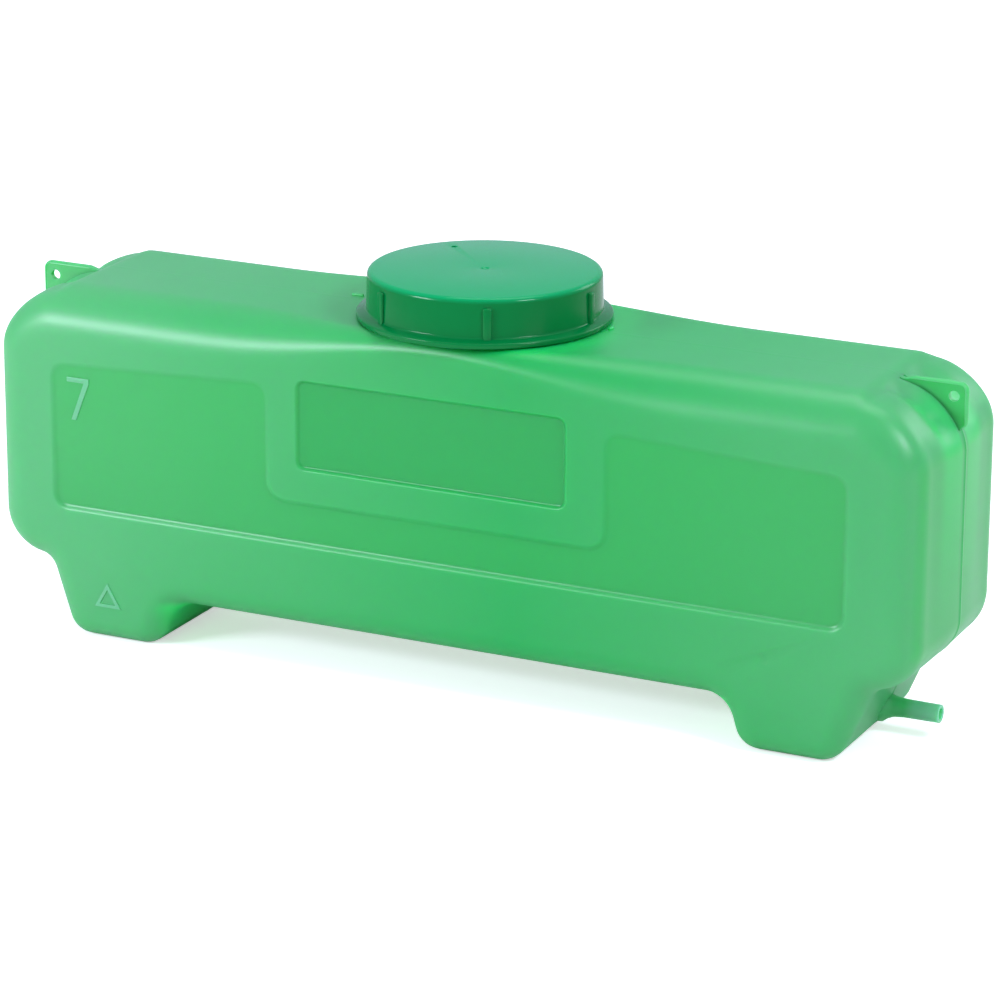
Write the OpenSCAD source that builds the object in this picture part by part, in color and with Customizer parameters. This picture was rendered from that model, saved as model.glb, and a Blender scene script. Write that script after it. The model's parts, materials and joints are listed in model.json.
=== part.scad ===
// Seven-litre hanging water tank: a blow-moulded shell, its screw cap and the cap's gasket.
// X runs along the tank, -Y is the front, +Z is up. The feet stand on z = 0,
// the neck axis is x = y = 0 and the mould's parting plane is y = 0.

/* [Tank] */
// Length between the borders of the two end faces
tank_len = 468; // [440:1:520]
// How far the end faces bulge out on the parting plane
end_crown = 2; // [0:0.1:3]
// Depth from front face to back face
tank_depth = 108; // [108:1:130]
// Height of the flat top above the floor
top_z = 170; // [160:1:190]
// Wall thickness of the moulding
wall = 1.8; // [1.2:0.1:2.4]
// Height of the belly between the feet
belly_z = 22.5; // [20:0.5:28]
// Height of the short ledge outside each foot
ledge_z = 35.5; // [33:0.5:40]
// Radius of the two top corners, seen from the front
top_corner_r = 32; // [26:0.5:40]
// Radius of the two bottom corners, seen from the front
low_corner_r = 23.5; // [20:0.5:30]

/* [Edges] */
// Radius of the front and back edges on the ends and the underside
side_edge_r = 15; // [11:0.5:18]
// Radius of the top edges beside the neck
neck_edge_r = 6.5; // [5:0.5:8]
// Radius of the top edges far from the neck
far_edge_r = 22; // [18:0.5:25]
// Distance from the neck at which the top edges reach their full radius
edge_grow = 120; // [90:1:150]

/* [Feet] */
// Distance from the end face to the foot's outer lower corner
foot_inset = 37.5; // [34:0.5:44]
// Shift of both feet towards the spigot's end
foot_shift = 2.5; // [0:0.5:4]
// Length of each foot along the floor
foot_len = 46; // [38:0.5:52]
// Slope of the foot's outer face
foot_out_angle = 70; // [64:1:76]
// Run of the foot's inner face, from the floor to the belly
foot_in_run = 8.5; // [7:0.5:14]
// Radius of the foot's lower corners
foot_corner_r = 13; // [11.5:0.5:14]
// Radius of the front and back edges at the foot's sole
foot_edge_r = 10; // [7:0.5:11]
// Radius where a foot's outer face meets the ledge
foot_out_root_r = 8.5; // [7:0.5:11]
// Radius where a foot's inner face meets the belly
foot_in_root_r = 14; // [8:0.5:15]

/* [Front panel] */
// Distance from the end face to the sunk panel
panel_margin = 33; // [28:0.5:40]
// Height of the panel's lower edge
panel_low_z = 64.5; // [58:0.5:72]
// Distance from the flat top to the panel's upper edge at its ends
panel_end_drop = 35; // [32:0.5:42]
// Rise of the panel's upper edge from its ends to the pad
panel_rise = 5; // [0:0.5:7]
// How far the panel is sunk below the face
panel_sink = 2; // [1:0.1:2.5]
// Corner radius of the panel
panel_r = 7; // [4:0.5:10]
// Length of the raised pad in the middle of the panel
pad_len = 172; // [150:1:200]
// Height of the pad above the panel's lower edge
pad_lift = 20; // [14:0.5:26]
// Length of the sunk name plaque on the pad, which is left bare
plaque_len = 136; // [110:1:140]
// Height of the plaque
plaque_high = 42; // [34:0.5:46]
// Distance from the flat top to the plaque
plaque_drop = 26.5; // [25:0.5:32]
// Shift of the plaque off the neck axis
plaque_shift = -2; // [-4:0.5:4]
// How far the plaque is sunk below the pad
plaque_sink = 1; // [0.5:0.1:1.5]

/* [Hanging lugs] */
// Thickness of the lug webs on the parting plane
lug_thick = 4; // [3:0.1:5]
// How far a lug stands out past the end face
lug_out = 2.3; // [1:0.1:4]
// Distance from the flat top down to the lug's upper edge
lug_drop = 1; // [0.5:0.1:3]
// Height of the lug along the end face
lug_high = 22; // [18:0.5:28]
// Diameter of the hanging hole
lug_hole_d = 5; // [4:0.1:6]
// Distance from the lug's outer edge to the hole's centre
lug_hole_in = 6.5; // [5:0.1:8]
// Distance from the lug's upper edge to the hole's centre
lug_hole_down = 6.7; // [5:0.1:8]
// Radius of the lug's outer upper corner
lug_corner_r = 4; // [2:0.5:5]
// Width of the pocket in the top corner on each side of a lug
dish_wide = 28; // [20:0.5:30]
// Depth of those pockets
dish_sink = 2.5; // [1:0.1:4]

/* [Hose spigot] */
// Outer diameter of the spigot, which is the hose's inner diameter
spigot_d = 8; // [6.5:0.1:9.5]
// Diameter of the cone at the spigot's root
spigot_root_d = 11; // [9.6:0.1:12]
// Bore of the spigot
spigot_bore = 5; // [3:0.1:5.5]
// How far the spigot reaches out of the foot at its axis
spigot_len = 25; // [18:0.5:34]
// Height of the spigot's axis above the floor
spigot_z = 12.8; // [11:0.1:15]
// Length of the root cone
spigot_root_len = 7; // [4:0.5:10]

/* [Neck and thread] */
// Outer radius of the neck
neck_r = 49; // [44:0.5:50]
// Wall thickness of the neck
neck_wall = 3; // [2:0.1:4]
// Height of the thread ridges
thread_high = 1.9; // [1.5:0.1:2.2]
// Rise of the thread in one turn
thread_lead = 8; // [7:0.5:9]
// Turns of ridge on the neck, and on the cap
thread_turns = 1.1; // [1:0.05:1.2]
// Width of a ridge at its root
ridge_w = 3.4; // [2.6:0.1:3.6]
// Width of a ridge at its crest
ridge_tip_w = 1.8; // [1.2:0.1:2.2]
// Radial gap between a ridge's crest and the wall that it faces
thread_gap = 0.9; // [0.6:0.1:1.1]

/* [Screw cap] */
// Height of the cap from its flange to its top
cap_high = 22.1; // [21:0.1:26]
// Wall thickness of the cap's skirt
cap_wall = 2.5; // [2:0.1:3.5]
// Thickness of the cap's top
cap_top_t = 2.2; // [1.6:0.1:3]
// Gap under the flange when the cap is closed
cap_gap = 0.5; // [0.4:0.1:1]
// Width of the flange outside the skirt
flange_w = 4.5; // [3:0.1:6]
// Height of the flange
flange_high = 3.7; // [2.5:0.1:4.5]
// Radius of the cap's top edge
cap_edge_r = 3.2; // [2:0.1:4]
// How much the skirt widens from its top to its flange
cap_taper = 0.5; // [0:0.1:1]
// Number of grip ribs
rib_count = 6; // [4:1:12]
// Width of a grip rib
rib_w = 4; // [3:0.1:6]
// How far a grip rib stands off the skirt
rib_out = 1.2; // [0.8:0.1:2]
// Length of a grip rib above the flange
rib_high = 14.3; // [10:0.1:15]
// Angle of the first grip rib
rib_angle = -61; // [-90:1:90]
// Diameter of the vent hole in the cap
vent_d = 2; // [1.5:0.1:3]
// Distance of the vent hole from the cap's axis
vent_r = 42; // [34:0.5:43]
// Angle of the vent hole
vent_angle = 136; // [90:1:180]

/* [Gasket] */
// Thickness of the flat gasket in the cap
gasket_t = 1.5; // [1:0.1:2.5]
// How far the gasket reaches inside the neck's bore
gasket_in = 0.7; // [0.3:0.1:1.5]
// Gap between the gasket and what it faces above, below and outside
seal_gap = 0.3; // [0.3:0.05:0.5]

/* [Hidden] */
$fn = 96;

// Half sizes of the tank
end_x = tank_len / 2;
face_y = tank_depth / 2;

// Steps of the smooth surfaces
arc_steps = 5;
edge_steps = 4;
dish_steps = 2;
top_steps = 8;
ridge_step = 12;

// Overlap that joins or cuts two solids without leaving a skin
eps = 0.3;

// The cap is built outwards from the neck
cap_bore_r = neck_r + thread_high + thread_gap;
cap_r = cap_bore_r + cap_wall;
flange_r = cap_r + cap_taper + flange_w;
cap_z = top_z + cap_gap;
cap_top_z = cap_z + cap_high;
ceiling_z = cap_top_z - cap_top_t;
gasket_top_z = ceiling_z - seal_gap;
rim_z = gasket_top_z - gasket_t - seal_gap;
neck_bore_r = neck_r - neck_wall;

// The neck's ridge ends just below the rim, and the cap's ridge runs half a lead under it
neck_thread_z = rim_z - ridge_w / 2 - eps - thread_lead * thread_turns;
cap_thread_z = neck_thread_z - thread_lead / 2;
ridge_fade = 15;

// Lug and spigot places
lug_x = end_x + lug_out;
lug_top_z = top_z - lug_drop;
hole_x = lug_x - lug_hole_in;
hole_z = lug_top_z - lug_hole_down;
spigot_x = end_x - foot_inset + foot_shift + spigot_z / tan(foot_out_angle);

// Smooth step from 0 to 1
function ease(v) = let (u = max(0, min(1, v))) u * u * (3 - 2 * u);

// List without its first item
function tail(v) = [for (i = [1:len(v) - 1]) v[i]];

// Arc of outline points [x, z, normal x, normal z]; side is 1 where it bulges and -1 where it is hollow
function arc(x, z, r, a0, a1, side) =
    [for (i = [0:arc_steps]) let (a = a0 + (a1 - a0) * i / arc_steps)
        [x + r * cos(a), z + r * sin(a), side * cos(a), side * sin(a)]];

// Rounded corner of radius r at point p, between the directions a and b of its two sides
function corner(p, a, b, r, side) =
    let (mid = (a + b) / norm(a + b))
    let (half = acos(mid * a))
    let (c = p + mid * r / sin(half))
    let (s = p + a * r / tan(half) - c)
    let (e = p + b * r / tan(half) - c)
    let (a0 = atan2(s[1], s[0]))
    let (turn = atan2(e[1], e[0]) - a0)
    arc(c[0], c[1], r, a0, a0 + (turn > 180 ? turn - 360 : turn < -180 ? turn + 360 : turn), side);

// Directions of a foot's outer and inner face
out_dir = [cos(foot_out_angle), sin(foot_out_angle)];
out_nrm = [sin(foot_out_angle), -cos(foot_out_angle)];
in_dir = [-foot_in_run, belly_z] / norm([foot_in_run, belly_z]);

// Half of the outline on the +X side, from the top's middle clockwise to the belly's middle,
// with its foot moved outwards by shift. The root fillet touches the foot and the low corner.
function half_outline(shift) =
    let (low = [end_x - low_corner_r, ledge_z + low_corner_r])
    let (foot = [end_x - foot_inset + shift, 0])
    let (base = foot + out_nrm * foot_out_root_r)
    let (along = (base - low) * out_dir)
    let (gap = along * along - (base - low) * (base - low) + pow(low_corner_r + foot_out_root_r, 2))
    let (root = base - out_dir * (along + sqrt(max(0, gap))))
    let (root_a = atan2(root[1] - low[1], root[0] - low[0]))
    let (inner = foot - [foot_len, 0])
    concat(
        [for (i = [0:top_steps - 1]) [(end_x - top_corner_r) * i / top_steps, top_z, 0, 1]],
        arc(end_x - top_corner_r, top_z - top_corner_r, top_corner_r, 90, 0, 1),
        arc(low[0], low[1], low_corner_r, 0, root_a, 1),
        tail(arc(root[0], root[1], foot_out_root_r, root_a + 180, foot_out_angle + 90, -1)),
        corner(foot, out_dir, [-1, 0], foot_corner_r, 1),
        corner(inner, [1, 0], in_dir, foot_corner_r, 1),
        corner(inner + [-foot_in_run, belly_z], -in_dir, [-1, 0], foot_in_root_r, -1)
    );
left_half = half_outline(-foot_shift);
outline = concat(
    half_outline(foot_shift),
    [[0, belly_z, 0, -1]],
    [for (i = [len(left_half) - 1:-1:1]) let (p = left_half[i]) [-p[0], p[1], -p[2], p[3]]]
);
outline_count = len(outline);

// Edge radius at an outline point: it grows away from the neck on top and shrinks at the sole
function edge_r(p) =
    let (top = ease((p[1] - top_z + top_corner_r) / top_corner_r))
    let (sole = 1 - ease(p[1] / ledge_z))
    let (top_r = neck_edge_r + (far_edge_r - neck_edge_r) * ease(abs(p[0]) / edge_grow))
    side_edge_r + (top_r - side_edge_r) * top + (foot_edge_r - side_edge_r) * sole;

// Depth of a lug's pockets at an outline point and at a distance y from the parting plane
function dish(p, y) =
    let (down = (top_z - p[1]) / top_corner_r)
    let (out = (abs(p[0]) - end_x + top_corner_r) / top_corner_r)
    let (across = 1 - abs(2 * abs(y) / dish_wide - 1))
    out > 0 && down < 1 ? dish_sink * ease(3 * out) * ease(2 - 2 * down) * ease(across) : 0;

// Bulge of the end face at an outline point and at a distance y from the parting plane
function crown(p, y) =
    let (up = ease((p[1] - ledge_z) / low_corner_r))
    end_crown * up * p[2] * p[2] * (1 - pow(y / (face_y - side_edge_r), 2));

// Rounded plate on the outline, shrunk by inset on every side. The loft runs just past the
// front and back faces, and a box cuts both of them flat.
module plate(inset) {
    edge = [for (k = [0:edge_steps]) 90 * k / edge_steps];
    middle = [for (k = [1 - dish_steps:dish_steps - 1]) dish_wide * k / dish_steps];
    front_rings = [for (t = edge) [-1, t, 0]];
    middle_rings = [for (y = middle) [0, 90, y]];
    back_rings = [for (k = [edge_steps:-1:0]) [1, edge[k], 0]];
    rings = concat(front_rings, middle_rings, back_rings);
    points = [
        for (g = rings, p = outline)
            let (r = max(1, edge_r(p) - inset))
            let (past = g[1] == 0 ? eps : 0)
            let (y = g[0] == 0 ? g[2] : g[0] * (face_y - inset - r * (1 - cos(g[1])) + past))
            let (d = inset + r * (1 - sin(g[1])) + (g[0] == 0 ? dish(p, y) - crown(p, y) : 0))
            [p[0] - p[2] * d, y, p[1] - p[3] * d]
    ];
    n = outline_count;
    last = len(rings) - 1;
    sides = [
        for (k = [0:last - 1], i = [0:n - 1])
            let (j = (i + 1) % n)
            [k * n + i, (k + 1) * n + i, (k + 1) * n + j, k * n + j]
    ];
    front_face = [for (i = [0:n - 1]) i];
    back_face = [for (i = [n - 1:-1:0]) last * n + i];
    intersection() {
        polyhedron(points, concat([front_face], sides, [back_face]), convexity = 8);
        cube([2 * tank_len, tank_depth - 2 * inset, 4 * top_z], center = true);
    }
}

// Sunk panel in front view, grown outwards by grow
module panel_shape(grow) {
    px = end_x - panel_margin + grow;
    lo = panel_low_z - grow;
    end_z = top_z - panel_end_drop + grow;
    mid_z = end_z + panel_rise;
    pad_x = pad_len / 2 - grow;
    pad_z = panel_low_z + pad_lift - grow;
    rise_dir = [-(px - pad_x), panel_rise] / norm([px - pad_x, panel_rise]);
    right = concat(
        corner([px, lo], [-1, 0], [0, 1], panel_r, 1),
        corner([px, end_z], [0, -1], rise_dir, panel_r, 1),
        [[pad_x, mid_z]],
        corner([pad_x, pad_z], [0, 1], [-1, 0], panel_r, 1)
    );
    last = len(right) - 1;
    polygon(concat(
        [for (p = right) [p[0], p[1]]],
        [for (i = [last:-1:0]) [-right[i][0], right[i][1]]]
    ));
}

// Sunk plaque in front view, grown outwards by grow
module plaque_shape(grow) {
    translate([plaque_shift - plaque_len / 2 - grow, top_z - plaque_drop - plaque_high - grow])
        square([plaque_len + 2 * grow, plaque_high + 2 * grow]);
}

// Front-view shape sunk from a face at distance y into the tank, which runs out past depth
module sunk(y, depth) {
    translate([0, -y + depth, 0])
        rotate([90, 0, 0])
        linear_extrude(height = depth + far_edge_r)
        children();
}

// Both panels and the front plaque, as cuts into the outer skin or as bumps into the hollow
module face_recesses(inset) {
    y = face_y - inset;
    sunk(y, panel_sink) panel_shape(inset);
    mirror([0, 1, 0]) sunk(y, panel_sink) panel_shape(inset);
    sunk(y, plaque_sink) plaque_shape(inset);
}

// Lug web on the parting plane at the +X end, solid down into the wall
module lug() {
    base_x = end_x - top_corner_r;
    bend = [for (a = [90:-15:0])
        [lug_x - lug_corner_r * (1 - cos(a)), lug_top_z - lug_corner_r * (1 - sin(a))]];
    low_z = lug_top_z - lug_high;
    translate([0, lug_thick / 2, 0])
        rotate([90, 0, 0])
        linear_extrude(height = lug_thick)
        polygon(concat(
            [[base_x, lug_top_z]],
            bend,
            [[lug_x, low_z + lug_out], [end_x - wall / 2, low_z], [base_x, low_z]]
        ));
}

// Helical ridge of right-hand thread; out is 1 for a ridge on a neck and -1 for one in a bore
module ridge(root_r, out, z0) {
    steps = ceil(360 * thread_turns / ridge_step);
    points = [
        for (i = [0:steps])
            let (a = 360 * thread_turns * i / steps)
            let (left = min(a, 360 * thread_turns - a))
            let (high = thread_high * ease(left / ridge_fade))
            let (z = z0 + thread_lead * a / 360)
            let (sizes = [[-0.6, -ridge_w / 2], [high, -ridge_tip_w / 2], [high, ridge_tip_w / 2], [-0.6, ridge_w / 2]])
            for (s = sizes)
                let (r = root_r + out * s[0])
                [r * cos(a), r * sin(a), z + s[1]]
    ];
    sides = [
        for (i = [0:steps - 1], k = [0:3])
            let (m = (k + 1) % 4)
            [4 * i + k, 4 * (i + 1) + k, 4 * (i + 1) + m, 4 * i + m]
    ];
    ends = [[0, 1, 2, 3], [for (k = [3:-1:0]) 4 * steps + k]];
    faces = concat(sides, ends);
    polyhedron(points, out > 0 ? [for (f = faces) [for (k = [len(f) - 1:-1:0]) f[k]]] : faces, convexity = 8);
}

module tank_shell() {
    color("mediumseagreen")
    difference() {
        union() {
            difference() {
                plate(0);
                face_recesses(0);
            }
            lug();
            mirror([1, 0, 0]) lug();
            translate([0, 0, top_z - wall / 2]) cylinder(r = neck_r, h = rim_z - top_z + wall / 2);
            ridge(neck_r, 1, neck_thread_z);
            translate([spigot_x - 3 * wall, 0, spigot_z]) rotate([0, 90, 0]) {
                cylinder(d = spigot_d, h = 3 * wall + spigot_len);
                cylinder(d1 = spigot_root_d, d2 = spigot_d, h = 3 * wall + spigot_root_len);
            }
        }
        difference() {
            plate(wall);
            face_recesses(wall);
        }
        translate([0, 0, top_z - 2 * wall]) cylinder(r = neck_bore_r, h = rim_z - top_z + 3 * wall);
        translate([spigot_x - 4 * wall, 0, spigot_z]) rotate([0, 90, 0])
            cylinder(d = spigot_bore, h = spigot_len + 5 * wall);
        for (s = [-1, 1])
            translate([s * hole_x, lug_thick, hole_z]) rotate([90, 0, 0])
                cylinder(d = lug_hole_d, h = 2 * lug_thick);
    }
}

module screw_cap() {
    edge = [for (a = [90:-15:0])
        [cap_r - cap_edge_r * (1 - cos(a)), cap_top_z - cap_edge_r * (1 - sin(a))]];
    foot_r = cap_r + cap_taper;
    color("seagreen") {
        difference() {
            union() {
                rotate_extrude() polygon(concat(
                    [[0, ceiling_z], [0, cap_top_z]],
                    edge,
                    [
                        [foot_r, cap_z + flange_high],
                        [flange_r - 1, cap_z + flange_high - 0.6],
                        [flange_r, cap_z + flange_high - 1.4],
                        [flange_r, cap_z],
                        [cap_bore_r, cap_z],
                        [cap_bore_r, ceiling_z]
                    ]
                ));
                for (i = [0:rib_count - 1])
                    rotate(rib_angle + 360 * i / rib_count)
                    translate([cap_bore_r + eps, -rib_w / 2, cap_z + flange_high - eps])
                        cube([cap_wall + cap_taper + rib_out - eps, rib_w, rib_high + eps]);
                ridge(cap_bore_r, -1, cap_thread_z);
            }
            rotate(vent_angle) translate([vent_r, 0, ceiling_z - 1])
                cylinder(d = vent_d, h = cap_top_t + 2);
        }
    }
}

module cap_gasket() {
    color("whitesmoke")
    translate([0, 0, gasket_top_z - gasket_t])
    difference() {
        cylinder(r = cap_bore_r - seal_gap, h = gasket_t);
        translate([0, 0, -1]) cylinder(r = neck_bore_r - gasket_in, h = gasket_t + 2);
    }
}

tank_shell();
screw_cap();
cap_gasket();
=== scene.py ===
"""Seven-litre hanging water tank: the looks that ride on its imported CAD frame.

The mesh code works in millimetres in the CAD frame, and finish_piece() turns a mesh to metres.
"""

import json
import math

import bmesh
import bpy
from mathutils import Matrix, Vector


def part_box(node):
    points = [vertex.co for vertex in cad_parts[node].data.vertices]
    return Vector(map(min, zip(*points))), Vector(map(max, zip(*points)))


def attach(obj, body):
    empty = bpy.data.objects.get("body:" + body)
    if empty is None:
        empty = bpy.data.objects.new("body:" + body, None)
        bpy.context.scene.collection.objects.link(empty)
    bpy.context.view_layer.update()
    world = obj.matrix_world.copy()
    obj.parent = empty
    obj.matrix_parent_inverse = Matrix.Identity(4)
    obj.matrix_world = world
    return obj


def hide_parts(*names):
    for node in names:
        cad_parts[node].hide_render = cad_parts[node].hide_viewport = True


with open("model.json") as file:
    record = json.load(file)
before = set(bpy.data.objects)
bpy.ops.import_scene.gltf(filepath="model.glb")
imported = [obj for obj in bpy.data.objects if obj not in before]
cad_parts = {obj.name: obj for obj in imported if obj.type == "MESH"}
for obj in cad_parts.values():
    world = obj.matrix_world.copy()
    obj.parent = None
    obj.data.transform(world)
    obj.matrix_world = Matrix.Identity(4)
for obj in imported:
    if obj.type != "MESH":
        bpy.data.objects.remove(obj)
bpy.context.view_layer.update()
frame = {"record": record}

MM = 0.001
mounts = {m["name"]: m for m in frame["record"]["mounts"]}

# Places read from the frame
tank_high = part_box("tank_shell")[1] / MM
cap_low, cap_high = (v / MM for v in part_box("screw_cap"))
gasket_low, gasket_high = (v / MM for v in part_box("cap_gasket"))
hole_at = Vector(mounts["hanging_hole_right"]["pos_m"]) / MM
hole_r = mounts["hanging_hole_right"]["dims"]["r_mm"]
spigot_z = mounts["hose_spigot"]["pos_m"][2] / MM
spigot_r = mounts["hose_spigot"]["dims"]["r_mm"]

FACE = tank_high.y
LUG_X = tank_high.x
LUG_OUT = 2.3
END = LUG_X - LUG_OUT
CAP_GAP = 0.5
TOP = cap_low.z - CAP_GAP
RIM = tank_high.z

# Blow-moulded shell
WALL = 1.8
BELLY = 22.5
LEDGE = 35.5
TOP_R = 32
LOW_R = 23.5
SIDE_R = 15
NECK_EDGE_R = 6.5
FAR_EDGE_R = 22
EDGE_GROW = 120
END_CROWN = 2
FOOT_X = END - 38
FOOT_SHIFT = 1.5
FOOT_LEN = 46
FOOT_SLOPE = math.radians(67)
FOOT_RUN = 8.5
FOOT_R = 13
FOOT_EDGE_R = 10
OUT_ROOT_R = 8.5
IN_ROOT_R = 14

# Below the ledges the outer back edges are rounder, by a radius that grows in downwards
BACK_GROW = 11
BACK_GROW_FROM = LEDGE + 5
BACK_GROW_OVER = 15

# How finely the shell is drawn: steps round each curve, and stations along the top and the belly
EDGE_STEPS = 9
MIDDLE_STEPS = 16
HOLLOW_STEPS = 5
TOP_ARC_STEPS = 30
LOW_ARC_STEPS = 16
ROOT_ARC_STEPS = 8
FOOT_ARC_STEPS = 9
PANEL_ARC_STEPS = 7
PLAQUE_ARC_STEPS = 5
TOP_STATIONS = [8 * i for i in range(24)] + [189, 193, 196, 198, 199.5]
BELLY_STATIONS = range(120, -1, -12)
SUPPORT = 1.6

# Pockets beside each lug, the step at the end of the top, and the mould's parting line
DISH_WIDE = 28
DISH_SINK = 2.5
CREST_X = 198
CREST_RUN = 9
CREST_DROP = 2.5
CREST_HALF = 51
CREST_FADE = 17
PARTING_SHARE = 0.02
PARTING_TOP = 0.06
PARTING_END = 0.35
PARTING_FADE = 6

# Hanging lugs
LUG_DROP = 1
LUG_HIGH = 22
LUG_HALF = 2
LUG_R = 4
LUG_RIM = 1.2
LUG_SINK = 0.5
LUG_BEVEL = 1.8
LUG_RAMP = (9, 2.5)
HOLE_CUT = 5

# Sunk panel, its raised pad and the bare plaque
PANEL_X = END - 33
PANEL_LOW = 64.5
PANEL_END = TOP - 35
PANEL_RISE = 5
PANEL_SINK = 1.6
PANEL_TOP_SHARE = 0.4
PANEL_R = 7
PANEL_STEP = 1.6
PAD_X = 86
PAD_LOW = PANEL_LOW + 20
PAD_R = 9
PLAQUE = (-70, 66, 101.5, 143.5)
PLAQUE_SINK = 1.4
PLAQUE_R = 4
PLAQUE_STEP = 1

# Raised marks: the capacity in litres on the left panel, and a plain triangle on the left foot
MARK_HIGH = 0.5
MARK_BEVEL = 0.3
SEVEN_AT = (-187, 119)
SEVEN_WIDE = 12
SEVEN_HIGH = 21
SEVEN_STROKE = 2.4
TRIANGLE_AT = (-173, 21.5)
TRIANGLE_R = 8
TRIANGLE_STROKE = 1.5

# A shallow round mark low on the front, and two small stops on the top: x, y, wide and deep
DIMPLE_AT = (164, 46)
DIMPLE_R = 9
DIMPLE_SINK = 0.6
STOPS = ((-68.5, 5, 6, 1.6), (61.5, 5, 1.6, 4))
STOP_HIGH = 1
STOP_BEVEL = 0.5

# Hose spigot: the cone at its root, its bore, and where the cut of the bore starts and ends
SPIGOT_ROOT_R = 8
SPIGOT_BORE_R = 2.5
SPIGOT_BORE = (180, 260)
SPIGOT_MARK_X = LUG_X - 24

# Painted sheen: where the tank's colour is deepest along X, and how far it takes to turn pale as a painted
# reflection
PAINTED_SHEEN_FROM = 40
PAINTED_SHEEN_OVER = 255

# Painted glow and shade: a deep, bright green that stands in for light coming through the walls where
# shade falls, and how strongly it shows on the top beside the cap, in its shade, and in the pockets beside
# the lugs
PAINTED_GLOW = "00F468"
PAINTED_GLOW_TOP = 0.25
PAINTED_GLOW_POCKET = 0.3

# Neck and cap
NECK_R = 49
NECK_WALL = 3
THREAD_LEAD = 8
THREAD_TURNS = 1.1
THREAD_HIGH = 1.9
RIDGE_W = 3.4
RIDGE_TIP_W = 1.8
RIDGE_FADE = 15
RIDGE_STEP = 5
THREAD_RIM_GAP = 0.3
FLANGE_R = cap_high.x
CAP_BORE = NECK_R + THREAD_HIGH + 0.9
CAP_R = CAP_BORE + 2.5
CAP_TAPER = 0.5
CAP_Z = cap_low.z
CAP_TOP = cap_high.z
CEILING = CAP_TOP - 2.2
FLANGE_HIGH = 3.7
CAP_EDGE_R = 2.6
RIB_COUNT = 6
RIB_ANGLE = -63
RIB_W = 4
RIB_OUT = 1.2
RIB_HIGH = 14.3
RIB_BEVEL = 0.9
VENT_R = 42
VENT_HOLE_R = 1.5
VENT_ANGLE = 136


def ease(v):
    """Smooth step from 0 to 1."""
    v = max(0.0, min(1.0, v))
    return v * v * (3 - 2 * v)


def flat(x, z):
    return Vector((x, z))


def arc(centre, radius, start, end, steps, side=1):
    """Points and outward normals along an arc; side is -1 where it is hollow."""
    made = []
    for i in range(steps + 1):
        a = start + (end - start) * i / steps
        d = flat(math.cos(a), math.sin(a))
        made.append((centre + d * radius, d * side))
    return made


def corner(point, a, b, radius, steps, side=1):
    """Rounded corner at a point, between the directions a and b of its two sides."""
    mid = (a + b).normalized()
    half = math.acos(mid.dot(a))
    centre = point + mid * (radius / math.sin(half))
    first = point + a * (radius / math.tan(half)) - centre
    last = point + b * (radius / math.tan(half)) - centre
    start = math.atan2(first.y, first.x)
    turn = math.atan2(last.y, last.x) - start
    turn -= math.tau * round(turn / math.tau)
    return arc(centre, radius, start, start + turn, steps, side)


def joined(right, left):
    """An outline's right half with the mirror image of its left one, which closes it."""
    return right + [(flat(-p.x, p.y), flat(-n.x, n.y)) for p, n in reversed(left) if abs(p.x) > 1e-6]


def half_outline(shift):
    """Half of the tank's front view on the +X side, clockwise from the top's middle, as points
    and outward normals. Its foot is moved outwards by shift, and the fillet at the foot's root
    touches both the foot and the low corner."""
    out_dir = flat(math.cos(FOOT_SLOPE), math.sin(FOOT_SLOPE))
    in_dir = flat(-FOOT_RUN, BELLY).normalized()
    foot = flat(FOOT_X + shift, 0)
    inner = foot - flat(FOOT_LEN, 0)
    low = flat(END - LOW_R, LEDGE + LOW_R)
    base = foot + flat(out_dir.y, -out_dir.x) * OUT_ROOT_R
    along = (base - low).dot(out_dir)
    gap = along * along - (base - low).dot(base - low) + (LOW_R + OUT_ROOT_R) ** 2
    root = base - out_dir * (along + math.sqrt(gap))
    root_a = math.atan2(root.y - low.y, root.x - low.x)
    up = math.pi / 2
    half = [(flat(x, TOP), flat(0, 1)) for x in TOP_STATIONS]
    half += arc(flat(END - TOP_R, TOP - TOP_R), TOP_R, up, 0, TOP_ARC_STEPS)
    half += arc(low, LOW_R, 0, root_a, LOW_ARC_STEPS)
    half += arc(root, OUT_ROOT_R, root_a + math.pi, FOOT_SLOPE + up, ROOT_ARC_STEPS, -1)[1:]
    half += corner(foot, out_dir, flat(-1, 0), FOOT_R, FOOT_ARC_STEPS)
    half += corner(inner, flat(1, 0), in_dir, FOOT_R, FOOT_ARC_STEPS)
    half += corner(inner + flat(-FOOT_RUN, BELLY), -in_dir, flat(-1, 0), IN_ROOT_R, FOOT_ARC_STEPS, -1)
    half += [(flat(x, BELLY), flat(0, -1)) for x in BELLY_STATIONS]
    return half


def tank_outline():
    return joined(half_outline(FOOT_SHIFT), half_outline(-FOOT_SHIFT))


def edge_radius(p):
    """Radius of the front and back edges: it grows away from the neck and shrinks at the soles."""
    top = ease((p.y - TOP + TOP_R) / TOP_R)
    sole = 1 - ease(p.y / LEDGE)
    top_r = NECK_EDGE_R + (FAR_EDGE_R - NECK_EDGE_R) * ease(abs(p.x) / EDGE_GROW)
    return SIDE_R + (top_r - SIDE_R) * top + (FOOT_EDGE_R - SIDE_R) * sole


def lug_sink(p, y):
    """How far the skin is sunk around a lug: the step at the end of the top, and the pockets."""
    out = (abs(p.x) - END + TOP_R) / TOP_R
    down = (TOP - p.y) / TOP_R
    if down > 1:
        return 0
    step = CREST_DROP * ease((abs(p.x) - CREST_X) / CREST_RUN) * ease(1.2 - down)
    step *= ease((CREST_HALF - abs(y)) / CREST_FADE)
    across = 1 - abs(2 * abs(y) / DISH_WIDE - 1)
    return step + DISH_SINK * ease(3 * out) * ease(2 - 2 * down) * ease(across)


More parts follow.
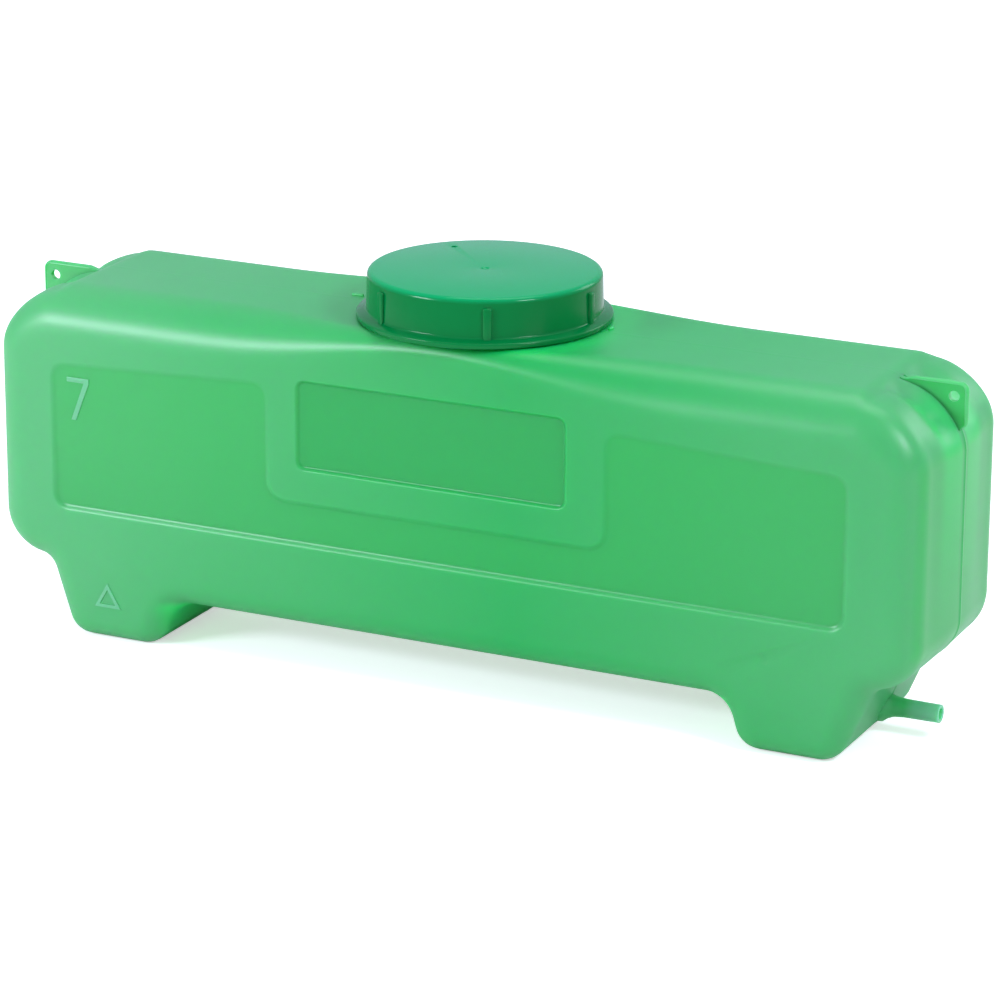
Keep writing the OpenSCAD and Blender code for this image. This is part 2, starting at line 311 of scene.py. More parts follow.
def end_crown(p, n, y):
    """How far the end face bulges out."""
    across = max(0.0, 1 - (y / (FACE - SIDE_R)) ** 2)
    return END_CROWN * ease((p.y - LEDGE) / LOW_R) * n.x * n.x * across * across


def skin_ring(outline, side, angle, share, support=0.0, inset=0.0, side_inset=0.0):
    """One ring of the tank's skin. Side is -1 at the front and 1 at the back, the angle runs
    round the edge from the face to the crown, and share is the part of the way out from the
    parting plane."""
    ring = []
    for p, n in outline:
        r = max(1.0, edge_radius(p) - inset)
        if side > 0:
            outer = max(0.0, n.x * math.copysign(1, p.x))
            r += BACK_GROW * outer * ease((BACK_GROW_FROM - p.y) / BACK_GROW_OVER)
        y = side * (FACE - inset - side_inset - r * (1 - math.cos(angle))) * share
        sink = inset + r * (1 - math.sin(angle)) + support
        if share < 1 or angle > 0:
            sink += lug_sink(p, y) * math.sin(angle) - end_crown(p, n, y)
        if inset == 0:
            seam = PARTING_TOP + (PARTING_END - PARTING_TOP) * n.x * n.x
            sink -= seam * ease(1 - share / PARTING_SHARE) * ease(p.y / PARTING_FADE)
        q = p - n * sink
        ring.append(Vector((q.x, y, q.y)))
    return ring


def loft(bm, rings, closed=True):
    """Extrudes a loop of edges from each ring of points to the next, and returns the first
    and the last loop."""
    verts = [bm.verts.new(co) for co in rings[0]]
    edges = [bm.edges.new((verts[i - 1], verts[i])) for i in range(0 if closed else 1, len(verts))]
    first = list(edges)
    for ring in rings[1:]:
        made = bmesh.ops.extrude_edge_only(bm, edges=edges)["geom"]
        fresh = {v for v in made if isinstance(v, bmesh.types.BMVert)}
        verts = [next(e.other_vert(v) for e in v.link_edges if e.other_vert(v) in fresh) for v in verts]
        edges = [e for e in made if isinstance(e, bmesh.types.BMEdge) and set(e.verts) <= fresh]
        for v, co in zip(verts, ring):
            v.co = co
    return first, edges


def panel_outline(grow):
    """The sunk panel in front view, which leaves a raised pad in its middle."""
    right = flat(PANEL_X + grow, PANEL_END + grow)
    pad = flat(PAD_X - grow, PANEL_END + PANEL_RISE + grow)
    rise = (pad - right).normalized()
    corners = ((flat(PANEL_X + grow, PANEL_LOW - grow), flat(-1, 0), flat(0, 1), PANEL_R + grow),
               (right, flat(0, -1), rise, PANEL_R + grow),
               (pad, -rise, flat(0, -1), PANEL_R + grow),
               (flat(PAD_X - grow, PAD_LOW + grow), flat(0, 1), flat(-1, 0), PAD_R - grow))
    half = []
    for point, a, b, radius in corners:
        half += corner(point, a, b, radius, PANEL_ARC_STEPS)
    return [p for p, n in joined(half, half)]


def plaque_outline(grow):
    """The bare plaque in front view."""
    x0, x1, z0, z1 = PLAQUE
    x0, x1, z0, z1 = x0 - grow, x1 + grow, z0 - grow, z1 + grow
    made = []
    for x, z, a, b in ((x0, z0, (0, 1), (1, 0)), (x1, z0, (-1, 0), (0, 1)),
                       (x1, z1, (0, -1), (-1, 0)), (x0, z1, (1, 0), (0, -1))):
        made += corner(flat(x, z), Vector(a), Vector(b), PLAQUE_R + grow, PLAQUE_ARC_STEPS)
    return [p for p, n in made]


def panel_depth(z):
    """The panel is deepest along its lower edge and nearly runs out at its upper one."""
    up = (z - PANEL_LOW) / (PANEL_END - PANEL_LOW)
    return PANEL_SINK * (1 - (1 - PANEL_TOP_SHARE) * up)


def plaque_depth(z):
    return PLAQUE_SINK


def recess(bm, shape, depth, half_width, side):
    """Sinks a shape into a face over a soft step, and returns the loop at the face's level. The
    step runs from -1 to 1 half widths, with a flat margin on both sides."""
    steps = [-1.6, -1, -0.66, -0.33, 0, 0.33, 0.66, 1, 1.6]
    rings = []
    for s in steps:
        share = ease((s + 1) / 2)
        rings.append([Vector((p.x, side * (FACE - share * depth(p.y)), p.y)) for p in shape(-s * half_width)])
    first, last = loft(bm, rings)
    bmesh.ops.triangle_fill(bm, edges=last, use_beauty=True, normal=(0, side, 0))
    return first


def closed_shell(bm):
    """Merges doubles and turns every face outwards."""
    bmesh.ops.remove_doubles(bm, verts=bm.verts, dist=1e-4)
    bmesh.ops.recalc_face_normals(bm, faces=bm.faces)
    return bm


def tank_form():
    """The shell's outside: a loft on the outline, with its panels and the plaque sunk."""
    bm = bmesh.new()
    outline = tank_outline()
    quarter = math.pi / 2
    front = [(0, 1, SUPPORT)] + [(quarter * i / EDGE_STEPS, 1, 0) for i in range(EDGE_STEPS + 1)]
    front += [(quarter, 1 - i / MIDDLE_STEPS, 0) for i in range(1, MIDDLE_STEPS)]
    front += [(quarter, PARTING_SHARE, 0), (quarter, PARTING_SHARE / 2, 0)]
    rings = [skin_ring(outline, -1, a, s, k) for a, s, k in front]
    rings += [skin_ring(outline, 1, quarter, 0)]
    rings += [skin_ring(outline, 1, a, s, k) for a, s, k in reversed(front)]
    first, last = loft(bm, rings)
    first += recess(bm, panel_outline, panel_depth, PANEL_STEP, -1)
    first += recess(bm, plaque_outline, plaque_depth, PLAQUE_STEP, -1)
    last += recess(bm, panel_outline, panel_depth, PANEL_STEP, 1)
    for loop, side in ((first, -1), (last, 1)):
        bmesh.ops.triangle_fill(bm, edges=loop, use_beauty=True, normal=(0, side, 0))
    return closed_shell(bm)


def tank_hollow():
    """The shell's inside."""
    bm = bmesh.new()
    outline = tank_outline()
    quarter = math.pi / 2
    steps = [quarter * i / HOLLOW_STEPS for i in range(HOLLOW_STEPS + 1)]
    rings = [skin_ring(outline, -1, a, 1, 0, WALL, PANEL_SINK) for a in steps]
    rings += [skin_ring(outline, side, quarter, 0.5, 0, WALL, PANEL_SINK) for side in (-1, 0, 1)]
    rings += [skin_ring(outline, 1, a, 1, 0, WALL, PANEL_SINK) for a in reversed(steps)]
    for loop in loft(bm, rings):
        bmesh.ops.triangle_fill(bm, edges=loop, use_beauty=True, normal=(0, 1, 0))
    return closed_shell(bm)


def turned(profile, steps=144):
    """A shape turned about the Z axis from a profile of (radius, height) points."""
    bm = bmesh.new()
    verts = [bm.verts.new((r, 0, z)) for r, z in profile]
    edges = [bm.edges.new(pair) for pair in zip(verts, verts[1:])]
    bmesh.ops.spin(bm, geom=verts + edges, cent=(0, 0, 0), axis=(0, 0, 1), angle=math.tau,
                   steps=steps, use_merge=True, use_duplicate=False)
    return closed_shell(bm)


def rounded(points, radius, steps=4):
    """A profile whose middle points are rounded by a radius each."""
    made = [points[0]]
    for i, r in zip(range(1, len(points) - 1), radius):
        p = flat(*points[i])
        a = (flat(*points[i - 1]) - p).normalized()
        b = (flat(*points[i + 1]) - p).normalized()
        made += [tuple(q) for q, n in corner(p, a, b, r, steps)] if r else [points[i]]
    return made + [points[-1]]


def helix_ridge(root_r, out, start_z):
    """A ridge of right-hand thread; out is 1 on a neck and -1 in a bore."""
    turn = 360 * THREAD_TURNS
    steps = int(turn / RIDGE_STEP)
    rings = []
    for i in range(steps + 1):
        a = turn * i / steps
        high = THREAD_HIGH * ease(min(a, turn - a) / RIDGE_FADE)
        z = start_z + THREAD_LEAD * a / 360
        shape = [(-1, -RIDGE_W / 2), (0, -RIDGE_W / 2), (high, -RIDGE_TIP_W / 2),
                 (high, RIDGE_TIP_W / 2), (0, RIDGE_W / 2), (-1, RIDGE_W / 2)]
        a = math.radians(a)
        rings.append([Vector(((root_r + out * h) * math.cos(a), (root_r + out * h) * math.sin(a), z + w))
                      for h, w in shape])
    bm = bmesh.new()
    for loop in loft(bm, rings):
        bmesh.ops.edgeloop_fill(bm, edges=loop)
    return closed_shell(bm)


def plate(points, low, high, bevel=0.0, axis="Y"):
    """A flat plate from an outline, between two heights along an axis."""
    bm = bmesh.new()
    spots = {"Y": lambda p: (p[0], low, p[1]), "Z": lambda p: (p[0], p[1], low)}[axis]
    face = bm.faces.new([bm.verts.new(spots(p)) for p in points])
    side = bmesh.ops.extrude_face_region(bm, geom=[face])["geom"]
    move = Vector((0, high - low, 0)) if axis == "Y" else Vector((0, 0, high - low))
    bmesh.ops.translate(bm, verts=[v for v in side if isinstance(v, bmesh.types.BMVert)], vec=move)
    closed_shell(bm)
    if bevel:
        edges = [e for e in bm.edges if e.calc_face_angle(0) > math.radians(30)]
        bmesh.ops.bevel(bm, geom=edges, offset=bevel, affect="EDGES", segments=3, profile=0.5, material=-1)
    return bm


def lug_corner(radius):
    """The round upper corner of a lug."""
    x, z = LUG_X - LUG_R, TOP - LUG_DROP - LUG_R
    turns = [math.radians(15 * i) for i in range(7)]
    return [(x + radius * math.sin(a), z + radius * math.cos(a)) for a in turns]


def lug_web():
    """The hanging lug on the parting plane at the +X end."""
    top, root = TOP - LUG_DROP, END - TOP_R
    run, rise = LUG_RAMP
    points = [(root, top - rise), (root + run, top)] + lug_corner(LUG_R)
    points += [(LUG_X, top - LUG_HIGH + LUG_OUT), (END - WALL / 2, top - LUG_HIGH), (root, top - LUG_HIGH)]
    return plate(points, -LUG_HALF, LUG_HALF, LUG_BEVEL)


def lug_pocket(side):
    """A cutter that leaves a raised rim round one side of a lug."""
    top, root = TOP - LUG_DROP, END - TOP_R
    points = [(root, top - LUG_RIM)] + lug_corner(LUG_R - LUG_RIM)
    points += [(LUG_X - LUG_RIM, top - LUG_HIGH), (root, top - LUG_HIGH)]
    low, high = sorted((side * (LUG_HALF - LUG_SINK), side * (LUG_HALF + 1)))
    return plate(points, low, high)


def seven():
    """The numeral 7, which stands out from the floor of the left panel."""
    w, h, s = SEVEN_WIDE / 2, SEVEN_HIGH / 2, SEVEN_STROKE
    points = [(-w, h), (w, h), (w, h - s), (-w / 4, -h), (-w / 4 - 1.1 * s, -h), (w - 1.2 * s, h - s),
              (-w, h - s)]
    bm = plate(points, -MARK_HIGH, 1, MARK_BEVEL)
    x, z = SEVEN_AT
    lean = (panel_depth(z - h) - panel_depth(z + h)) / SEVEN_HIGH
    bmesh.ops.rotate(bm, verts=bm.verts, cent=(0, 0, 0), matrix=Matrix.Rotation(math.atan(lean), 3, "X"))
    return moved(bm, x, panel_depth(z) - FACE, z)


def triangle():
    """A raised triangular frame on the front of the left foot."""
    out, inside = TRIANGLE_R, TRIANGLE_R - 2 * TRIANGLE_STROKE
    turns = [math.tau * i / 3 for i in range(3)]
    loops = []
    for r, y in ((out, 1), (out, -MARK_HIGH), (inside, -MARK_HIGH), (inside, 1), (out, 1)):
        loops.append([Vector((r * math.sin(a), y, r * math.cos(a))) for a in turns])
    bm = bmesh.new()
    loft(bm, loops)
    return moved(closed_shell(bm), TRIANGLE_AT[0], -FACE, TRIANGLE_AT[1])


def block(x0, x1, y0, y1, low, high, bevel):
    """An upright block with bevelled edges."""
    return plate([(x0, y0), (x1, y0), (x1, y1), (x0, y1)], low, high, bevel, "Z")


def stop(x, y, wide, deep):
    """A small moulded stop on the top beside the neck."""
    return block(x - wide / 2, x + wide / 2, y - deep / 2, y + deep / 2, TOP - 1, TOP + STOP_HIGH, STOP_BEVEL)


def dimple():
    """A cutter for the shallow round mark low on the front."""
    bm = bmesh.new()
    bmesh.ops.create_uvsphere(bm, u_segments=48, v_segments=32, radius=DIMPLE_R)
    return moved(bm, DIMPLE_AT[0], DIMPLE_SINK - FACE - DIMPLE_R, DIMPLE_AT[1])


def spigot_form():
    """The hose spigot: a root cone that runs out of the foot, a straight barrel and a cut tip."""
    root = FOOT_X + FOOT_SHIFT + spigot_z / math.tan(FOOT_SLOPE)
    tip = mounts["hose_spigot"]["pos_m"][0] / MM + mounts["hose_spigot"]["dims"]["length_mm"] / 2
    profile = [(0, root - 6), (SPIGOT_ROOT_R, root - 6), (SPIGOT_ROOT_R - 0.3, root - 1.2),
               (SPIGOT_ROOT_R - 2, root + 1.2), (spigot_r + 0.8, root + 4), (spigot_r + 0.3, root + 9),
               (spigot_r + 0.25, root + 14), (spigot_r + 0.2, tip), (SPIGOT_BORE_R + 0.1, tip),
               (SPIGOT_BORE_R, tip - 12), (0, tip - 12)]
    bm = turned(rounded(profile, (0, 0, 2.5, 6, 6, 0, 0.3, 0.3, 0)), 48)
    bmesh.ops.rotate(bm, verts=bm.verts, cent=(0, 0, 0), matrix=Matrix.Rotation(math.pi / 2, 3, "Y"))
    bmesh.ops.translate(bm, verts=bm.verts, vec=(0, 0, spigot_z))
    return bm


def rod(radius, start, end, axis="Z", steps=64):
    """A plain cutting rod along an axis through the origin, to be moved."""
    bm = turned([(0, start), (radius, start), (radius, end), (0, end)], steps)
    if axis != "Z":
        turn = Matrix.Rotation(math.pi / 2, 3, "Y" if axis == "X" else "X")
        bmesh.ops.rotate(bm, verts=bm.verts, cent=(0, 0, 0), matrix=turn)
    return bm


def moved(bm, x=0, y=0, z=0):
    bmesh.ops.translate(bm, verts=bm.verts, vec=(x, y, z))
    return bm


def flipped_x(bm):
    """The same shape at the -X end."""
    bmesh.ops.scale(bm, verts=bm.verts, vec=(-1, 1, 1))
    bmesh.ops.recalc_face_normals(bm, faces=bm.faces)
    return bm


def as_object(name, bm):
    mesh = bpy.data.meshes.new(name)
    bm.to_mesh(mesh)
    bm.free()
    made = bpy.data.objects.new(name, mesh)
    bpy.context.scene.collection.objects.link(made)
    return made


def join_shapes(body, shapes, operation):
    """Adds closed shapes to a body, or cuts them out of it, and keeps the result as its mesh."""
    for bm in shapes:
        other = as_object("tool", bm)
        cut = body.modifiers.new("cut", "BOOLEAN")
        cut.operation = operation
        cut.solver = "EXACT"
        cut.object = other
        bpy.context.view_layer.update()
        mesh = bpy.data.meshes.new_from_object(body.evaluated_get(bpy.context.evaluated_depsgraph_get()))
        body.modifiers.remove(cut)
        body.data = mesh
        bpy.data.objects.remove(other)
    return body


def tank_region(x, y, z):
    """0 on the tank's skin, 1 on the floor of a panel, 1.3 on the end faces, which take back some of the
    painted sheen, 2 on the plaque, and below 0 on the spigot's barrel, which is paler, and on raised marks,
    painted pale as a highlight."""
    if x > SPIGOT_MARK_X and z < 2 * spigot_z:
        return -ease((x - SPIGOT_MARK_X) / 8)
    sunk = FACE - abs(y)
    seven_x, seven_z = SEVEN_AT
    on_seven = y < 0 and abs(x - seven_x) < 0.6 * SEVEN_WIDE and abs(z - seven_z) < 0.6 * SEVEN_HIGH
    if -1 < sunk < (panel_depth(z) if on_seven else 0) - MARK_HIGH / 2:
        return -0.5
    on_plaque = y < 0 and PLAQUE[0] - 1 < x < PLAQUE[1] + 1 and PLAQUE[2] - 1 < z < PLAQUE[3] + 1
    in_panel = abs(x) < PANEL_X + 2 and PANEL_LOW - 2 < z < PANEL_END + PANEL_RISE + 2
    if sunk > PANEL_SINK + 0.1 or not (on_plaque or in_panel):
        return 1.3 * ease((abs(x) - END + 4) / 4) * ease((TOP - TOP_R + 8 - z) / 8)
    return 2 * min(1, sunk / plaque_depth(z)) if on_plaque else min(1, sunk / panel_depth(z))


def cap_painted_top_light(x, y, z):
    """1 on the cap's flat top, painted lighter as light from above, and 0 on its wall."""
    return ease((z - CAP_TOP + CAP_EDGE_R) / CAP_EDGE_R)


def tank_painted_glow(x, y, z):
    """Where a glow and shade are painted in, a green for light that comes through the tank's walls: at
    the inner sides of the feet, on the top beside the cap's right half, and in the pockets beside the lugs."""
    inner = FOOT_X - FOOT_SHIFT - FOOT_LEN
    near = ease((inner + 2 - abs(x)) / 14) * ease((abs(x) - inner + 32) / 16) * ease((BELLY + 3 - z) / 6)
    beside = ease((z - TOP + 3) / 3) * ease((FLANGE_R + 19 - math.hypot(x, y)) / 16) * ease(x / 30)
    pocket = ease((18 - abs(z - TOP + 20)) / 10) * ease((abs(x) - END + 26) / 12)
    pocket *= ease((DISH_WIDE - abs(y)) / 10) * ease((abs(y) - LUG_HALF) / 3)
    return max(near, PAINTED_GLOW_TOP * beside, PAINTED_GLOW_POCKET * pocket)


def mark(body, name, value):
    """Stores a value of each point for the materials."""
    values = [value(*v.co) for v in body.data.vertices]
    body.data.attributes.new(name, "FLOAT", "POINT").data.foreach_set("value", values)


def finish_piece(piece, body, material, sharp=32, replaced=None):
    """Scales a piece to metres, shades it, gives it its material and lets it ride on its body."""
    piece.data.transform(Matrix.Scale(MM, 4))
    piece.data.materials.clear()
    piece.data.materials.append(material)
    piece.data.shade_smooth()
    piece.data.set_sharp_from_angle(angle=math.radians(sharp))
    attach(piece, body)
    if replaced:
        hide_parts(replaced)
    return piece


# Materials


def linear(code):
    """An sRGB hex colour as linear light."""
    parts = [int(code[i:i + 2], 16) / 255 for i in (0, 2, 4)]
    return tuple(c / 12.92 if c <= 0.04045 else ((c + 0.055) / 1.055) ** 2.4 for c in parts) + (1.0,)


def add_node(tree, kind, settings=(), links=()):
    """Adds a node with its properties and input values, and links its inputs to other outputs."""
    node = tree.nodes.new(kind)
    for name, value in dict(settings).items():
        if isinstance(name, str) and hasattr(node, name):
            setattr(node, name, value)
        else:
            node.inputs[name].default_value = value
    for name, output in dict(links).items():
        tree.links.new(output, node.inputs[name])
    return node


def new_material(name):
    material = bpy.data.materials.new(name)
    material.use_nodes = True
    material.node_tree.nodes.clear()
    return material, material.node_tree


def plastic(name, middle, ends, regions, roughness, gloss, weight, radius, grain, wave):
    """A moulded plastic. Its colour runs from the middle of the object to its ends, and where it turns
    paler there that is a painted sheen. Each region has the values at which it starts and is full,
    its colour and its cover. Gloss is the specular level. Weight and radius give the translucency.
    Grain and wave are the depths in mm of the fine skin texture and of the slow waves left by the mould."""
    material, tree = new_material(name)
    place = add_node(tree, "ShaderNodeTexCoord").outputs["Object"]
    region = add_node(tree, "ShaderNodeAttribute", {"attribute_name": "region"}).outputs["Fac"]
    # Painted sheen: paler away from the middle, and unevenly so, with the wall's thickness drifting over
    # about 90 mm
    drift = add_node(tree, "ShaderNodeTexNoise", {"Scale": 11.0, "Detail": 1.5}, {"Vector": place})
    across = add_node(tree, "ShaderNodeSeparateXYZ", (), {"Vector": place})
    side = add_node(tree, "ShaderNodeMath", {"operation": "SUBTRACT", 1: PAINTED_SHEEN_FROM * MM},
                    {0: across.outputs["X"]})
    away = add_node(tree, "ShaderNodeMath", {"operation": "ABSOLUTE"}, {0: side.outputs[0]})
    painted_sheen = add_node(tree, "ShaderNodeMapRange", {"From Max": PAINTED_SHEEN_OVER * MM}, {"Value": away.outputs[0]})
    uneven = add_node(tree, "ShaderNodeMapRange",
                      {"From Min": 0.3, "From Max": 0.7, "To Min": 0.88, "To Max": 1.12},
                      {"Value": drift.outputs["Fac"]})
    share = add_node(tree, "ShaderNodeMath", {"operation": "MULTIPLY", "use_clamp": True},
                     {0: painted_sheen.outputs["Result"], 1: uneven.outputs["Result"]})
    shade = add_node(tree, "ShaderNodeMix", {"data_type": "RGBA", 6: linear(middle), 7: linear(ends)},
                     {0: share.outputs[0]}).outputs[2]
    for low, high, code, cover in regions:
        part = add_node(tree, "ShaderNodeMapRange", {"From Min": low, "From Max": high, "To Max": cover},
                        {"Value": region})
        shade = add_node(tree, "ShaderNodeMix", {"data_type": "RGBA", 7: linear(code)},
                         {0: part.outputs["Result"], 6: shade}).outputs[2]
    # Painted glow and shade: a deeper, brighter green painted in where light comes through the wall
    through = add_node(tree, "ShaderNodeAttribute", {"attribute_name": "through"}).outputs["Fac"]
    shade = add_node(tree, "ShaderNodeMix", {"data_type": "RGBA", 7: linear(PAINTED_GLOW)},
                     {0: through, 6: shade}).outputs[2]
    # Mould skin of about 1.2 mm grain, drawn coarse enough to show, and waves of about 40 mm
    skin = add_node(tree, "ShaderNodeTexNoise", {"Scale": 800.0, "Detail": 2.0}, {"Vector": place})
    waves = add_node(tree, "ShaderNodeTexNoise", {"Scale": 26.0, "Detail": 1.0}, {"Vector": place})
    # The panels are more polished than the skin, and the plaque most of all
    sheen = add_node(tree, "ShaderNodeMapRange",
                     {"From Max": 2.0, "To Min": roughness, "To Max": roughness * 0.75}, {"Value": region})
    fine = add_node(tree, "ShaderNodeBump", {"Strength": 1.0, "Distance": grain * MM},
                    {"Height": skin.outputs["Fac"]})
    slow = add_node(tree, "ShaderNodeBump", {"Strength": 1.0, "Distance": wave * MM},
                    {"Height": waves.outputs["Fac"], "Normal": fine.outputs["Normal"]})
    shader = add_node(tree, "ShaderNodeBsdfPrincipled",
                      {"IOR": 1.5, "Specular IOR Level": gloss, "Subsurface Weight": weight,
                       "Subsurface Radius": radius, "Subsurface Scale": 1.0},
                      {"Base Color": shade, "Roughness": sheen.outputs["Result"],
                       "Normal": slow.outputs["Normal"]})
    add_node(tree, "ShaderNodeOutputMaterial", (), {"Surface": shader.outputs["BSDF"]})
    return material


# Blow-moulded HDPE, dyed green: milky and translucent, so light spreads under its soft sheen. Its skin
# carries a painted sheen that pales towards the ends; the panels and end faces are a deeper green with
# less of it, the plaque the deepest, the spigot paler, and the marks pale as a painted highlight
hdpe = plastic("HDPE, blow moulded", "00A048", "4AA865",
               ((0, 1, "00A43C", 0.5), (1, 2, "009A40", 0.8), (0, -1, "7CBC9A", 0.8)),
               roughness=0.4, gloss=0.5, weight=0.7, radius=(0.002, 0.012, 0.004), grain=0.02, wave=0.35)
# Injection-moulded polypropylene, denser and darker than the shell, with a smoother skin. Its flat
# top is painted lighter than its wall, as painted light from above
pp = plastic("Polypropylene, injection moulded", "007034", "007034", ((0, 1, "00985A", 1.0),),
             roughness=0.16, gloss=0.15, weight=0.2, radius=(0.001, 0.004, 0.002), grain=0.01, wave=0.05)
# Thermoplastic elastomer, matt and off-white
rubber = plastic("TPE, moulded", "E6E6DE", "DEDED6", (),
                 roughness=0.6, gloss=0.5, weight=0.1, radius=(0.002, 0.002, 0.002), grain=0.01, wave=0.02)


# Tank
shell = as_object("tank_skin", tank_form())
neck = turned([(0, TOP - 6), (NECK_R + 3.5, TOP - 1.5), (NECK_R + 2.6, TOP - 0.1), (NECK_R + 1, TOP + 0.6),
               (NECK_R + 0.2, TOP + 1.6), (NECK_R, TOP + 3), (NECK_R, RIM - 0.8), (NECK_R - 0.25, RIM - 0.2),
               (NECK_R - 0.9, RIM), (0, RIM)])
thread_z = RIM - RIDGE_W / 2 - THREAD_RIM_GAP - THREAD_LEAD * THREAD_TURNS
join_shapes(shell, [neck, helix_ridge(NECK_R, 1, thread_z), lug_web(), flipped_x(lug_web()), spigot_form(),
                    seven(), triangle()] + [stop(*place) for place in STOPS], "UNION")
join_shapes(shell, [
    tank_hollow(),
    rod(NECK_R - NECK_WALL, TOP - 8, RIM + 5, steps=144),
    moved(rod(SPIGOT_BORE_R, *SPIGOT_BORE, "X", 32), z=spigot_z),
    moved(rod(hole_r, -HOLE_CUT, HOLE_CUT, "Y", 32), hole_at.x, 0, hole_at.z),
    moved(rod(hole_r, -HOLE_CUT, HOLE_CUT, "Y", 32), -hole_at.x, 0, hole_at.z),
    lug_pocket(-1), lug_pocket(1), flipped_x(lug_pocket(-1)), flipped_x(lug_pocket(1)), dimple(),
], "DIFFERENCE")
mark(shell, "region", tank_region)
# Painted glow and shade, stored per point for the materials
mark(shell, "through", tank_painted_glow)
finish_piece(shell, "tank", hdpe, replaced="tank_shell")

# Cap
foot_r = CAP_R + CAP_TAPER
cap_profile = rounded(
    [(0, CEILING), (CAP_BORE, CEILING), (CAP_BORE, CAP_Z), (FLANGE_R, CAP_Z), (FLANGE_R, CAP_Z + 2.4),
     (foot_r, CAP_Z + FLANGE_HIGH), (CAP_R, CAP_TOP), (2.2, CAP_TOP), (1.6, CAP_TOP - 0.5),
     (1, CAP_TOP - 0.5), (0.7, CAP_TOP - 0.15), (0, CAP_TOP - 0.15)],
    (1, 0.3, 0.5, 0.9, 1.2, CAP_EDGE_R, 0.1, 0.1, 0.1, 0.1))
cap = as_object("cap_skin", turned(cap_profile))
ribs = []
for i in range(RIB_COUNT):
    rib = block(CAP_BORE + 1, foot_r + RIB_OUT, -RIB_W / 2, RIB_W / 2,
                CAP_Z + 1.5, CAP_Z + FLANGE_HIGH + RIB_HIGH, RIB_BEVEL)
    turn = Matrix.Rotation(math.radians(RIB_ANGLE + 360 * i / RIB_COUNT), 3, "Z")
    bmesh.ops.rotate(rib, verts=rib.verts, cent=(0, 0, 0), matrix=turn)
    ribs.append(rib)
join_shapes(cap, ribs + [helix_ridge(CAP_BORE, -1, thread_z - THREAD_LEAD / 2)], "UNION")
vent = math.radians(VENT_ANGLE)
vent_rod = rod(VENT_HOLE_R, CEILING - 2, CAP_TOP + 2, steps=24)
join_shapes(cap, [moved(vent_rod, VENT_R * math.cos(vent), VENT_R * math.sin(vent))], "DIFFERENCE")
mark(cap, "region", cap_painted_top_light)
finish_piece(cap, "cap", pp, replaced="screw_cap")

# Gasket
g_in, g_out = NECK_R - NECK_WALL - 0.7, gasket_high.x
ring = turned(rounded([(g_in, gasket_low.z + 0.1), (g_in, gasket_low.z), (g_out, gasket_low.z),
                       (g_out, gasket_high.z), (g_in, gasket_high.z), (g_in, gasket_low.z + 0.1)],
                      (0, 0.3, 0.3, 0)))
gasket = as_object("gasket_ring", ring)
finish_piece(gasket, "gasket", rubber, replaced="cap_gasket")


# Studio: white paper, an even room, and soft boxes all round


def softbox(name, place, target, size, power, colour="FFFFFF"):
    lamp = bpy.data.lights.new(name, "AREA")
    lamp.shape = "RECTANGLE"
    lamp.size, lamp.size_y = size
    lamp.energy = power
    lamp.color = linear(colour)[:3]
    made = bpy.data.objects.new(name, lamp)
    bpy.context.scene.collection.objects.link(made)
    made.location = place
    made.rotation_mode = "QUATERNION"
    made.rotation_quaternion = (Vector(target) - Vector(place)).to_track_quat("-Z", "Y")
    return made


FLOOR_HALF = 6000
floor_mesh = bmesh.new()
bmesh.ops.create_grid(floor_mesh, x_segments=2, y_segments=2, size=FLOOR_HALF)
floor = as_object("studio_floor", floor_mesh)
floor.data.transform(Matrix.Scale(MM, 4))
paper, tree = new_material("Studio paper, matt")
matt = add_node(tree, "ShaderNodeBsdfDiffuse", {"Color": linear("F2F2F2")})
# The camera alone sees the paper lifted to white
path = add_node(tree, "ShaderNodeLightPath")
lift = add_node(tree, "ShaderNodeMath", {"operation": "MULTIPLY", 1: 0.52},
                {0: path.outputs["Is Camera Ray"]})
glow = add_node(tree, "ShaderNodeEmission", {"Color": (1, 1, 1, 1)}, {"Strength": lift.outputs[0]})
both = add_node(tree, "ShaderNodeAddShader", (), {0: matt.outputs[0], 1: glow.outputs[0]})
add_node(tree, "ShaderNodeOutputMaterial", (), {"Surface": both.outputs[0]})
floor.data.materials.append(paper)

world = bpy.data.worlds.new("studio")
bpy.context.scene.world = world
world.use_nodes = True
world.node_tree.nodes.clear()
tree = world.node_tree
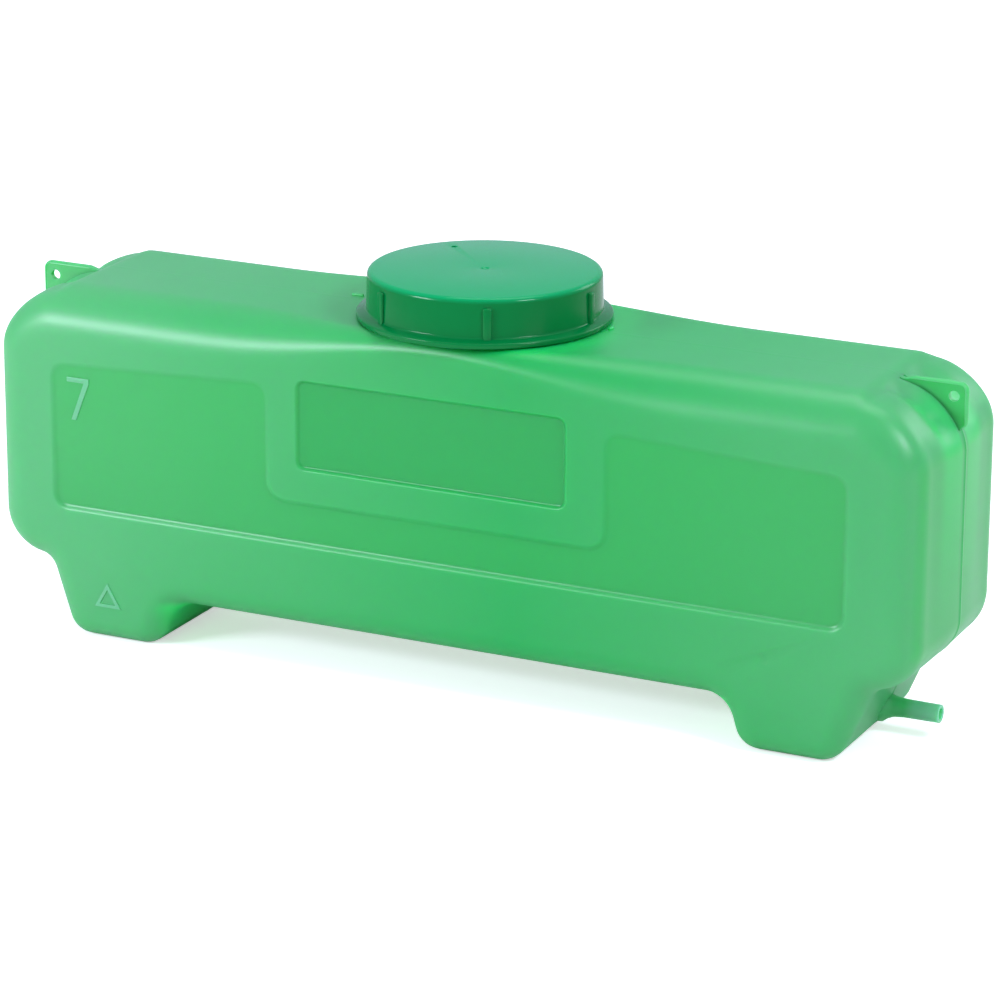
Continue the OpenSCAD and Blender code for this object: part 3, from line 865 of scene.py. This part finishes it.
# What the room lights with, what shows mirrored in the plastic, and what the camera sees
ambient = add_node(tree, "ShaderNodeBackground", {"Color": linear("F0F4FF"), "Strength": 0.62})
mirrored = add_node(tree, "ShaderNodeBackground", {"Color": linear("C4D2E6"), "Strength": 1.0})
room = add_node(tree, "ShaderNodeBackground", {"Color": (1, 1, 1, 1), "Strength": 1.0})
path = add_node(tree, "ShaderNodeLightPath")
mixed = add_node(tree, "ShaderNodeMixShader", (), {0: path.outputs["Is Glossy Ray"], 1: ambient.outputs[0],
                                                   2: mirrored.outputs[0]})
mixed = add_node(tree, "ShaderNodeMixShader", (), {0: path.outputs["Is Camera Ray"], 1: mixed.outputs[0],
                                                   2: room.outputs[0]})
add_node(tree, "ShaderNodeOutputWorld", (), {"Surface": mixed.outputs[0]})

softbox("key", (-0.93, -1.18, 0.7), (-0.15, 0, 0.12), (0.55, 0.25), 20, "E8ECFF")
softbox("fill", (1.08, -0.37, 1.05), (0.1, 0, 0.1), (0.3, 0.3), 10.5, "E8ECFF")
softbox("top", (0, 0.35, 1.5), (0, 0, 0.1), (1.0, 0.6), 7.5, "F0F4FF")
softbox("right card", (0.7, -0.2, 0.06), (0.25, 0, 0.1), (0.3, 0.12), 0.15, "E8ECFF")
softbox("back", (1.0, 1.5, 0.9), (0, 0, 0.08), (0.8, 0.8), 8, "F0F4FF")

# Camera: where it looks from in degrees, its distance, its aim's height and its shift in metres
CAMERA_ANGLES = (25.7034, 17.8244, -0.30745)
CAMERA_AWAY = 2.018
CAMERA_AIM_Z = 0.09
CAMERA_SHIFT = (0.007348, -0.008736)
camera_data = bpy.data.cameras.new("camera")
camera_data.lens = 155.82
camera_data.sensor_width = 36
camera = bpy.data.objects.new("camera", camera_data)
bpy.context.scene.collection.objects.link(camera)
azimuth, elevation, roll = (math.radians(v) for v in CAMERA_ANGLES)
back = Vector((math.sin(azimuth) * math.cos(elevation), -math.cos(azimuth) * math.cos(elevation),
               math.sin(elevation)))
level = Vector((math.cos(azimuth), math.sin(azimuth), 0))
rise = back.cross(level)
right = level * math.cos(roll) - rise * math.sin(roll)
above = level * math.sin(roll) + rise * math.cos(roll)
place = Vector((0, 0, CAMERA_AIM_Z)) + back * CAMERA_AWAY + right * CAMERA_SHIFT[0] + above * CAMERA_SHIFT[1]
turn = Matrix((right, above, back)).transposed()
camera.matrix_world = Matrix.Translation(place) @ turn.to_4x4()
bpy.context.scene.camera = camera
bpy.context.scene.view_settings.view_transform = "Standard"
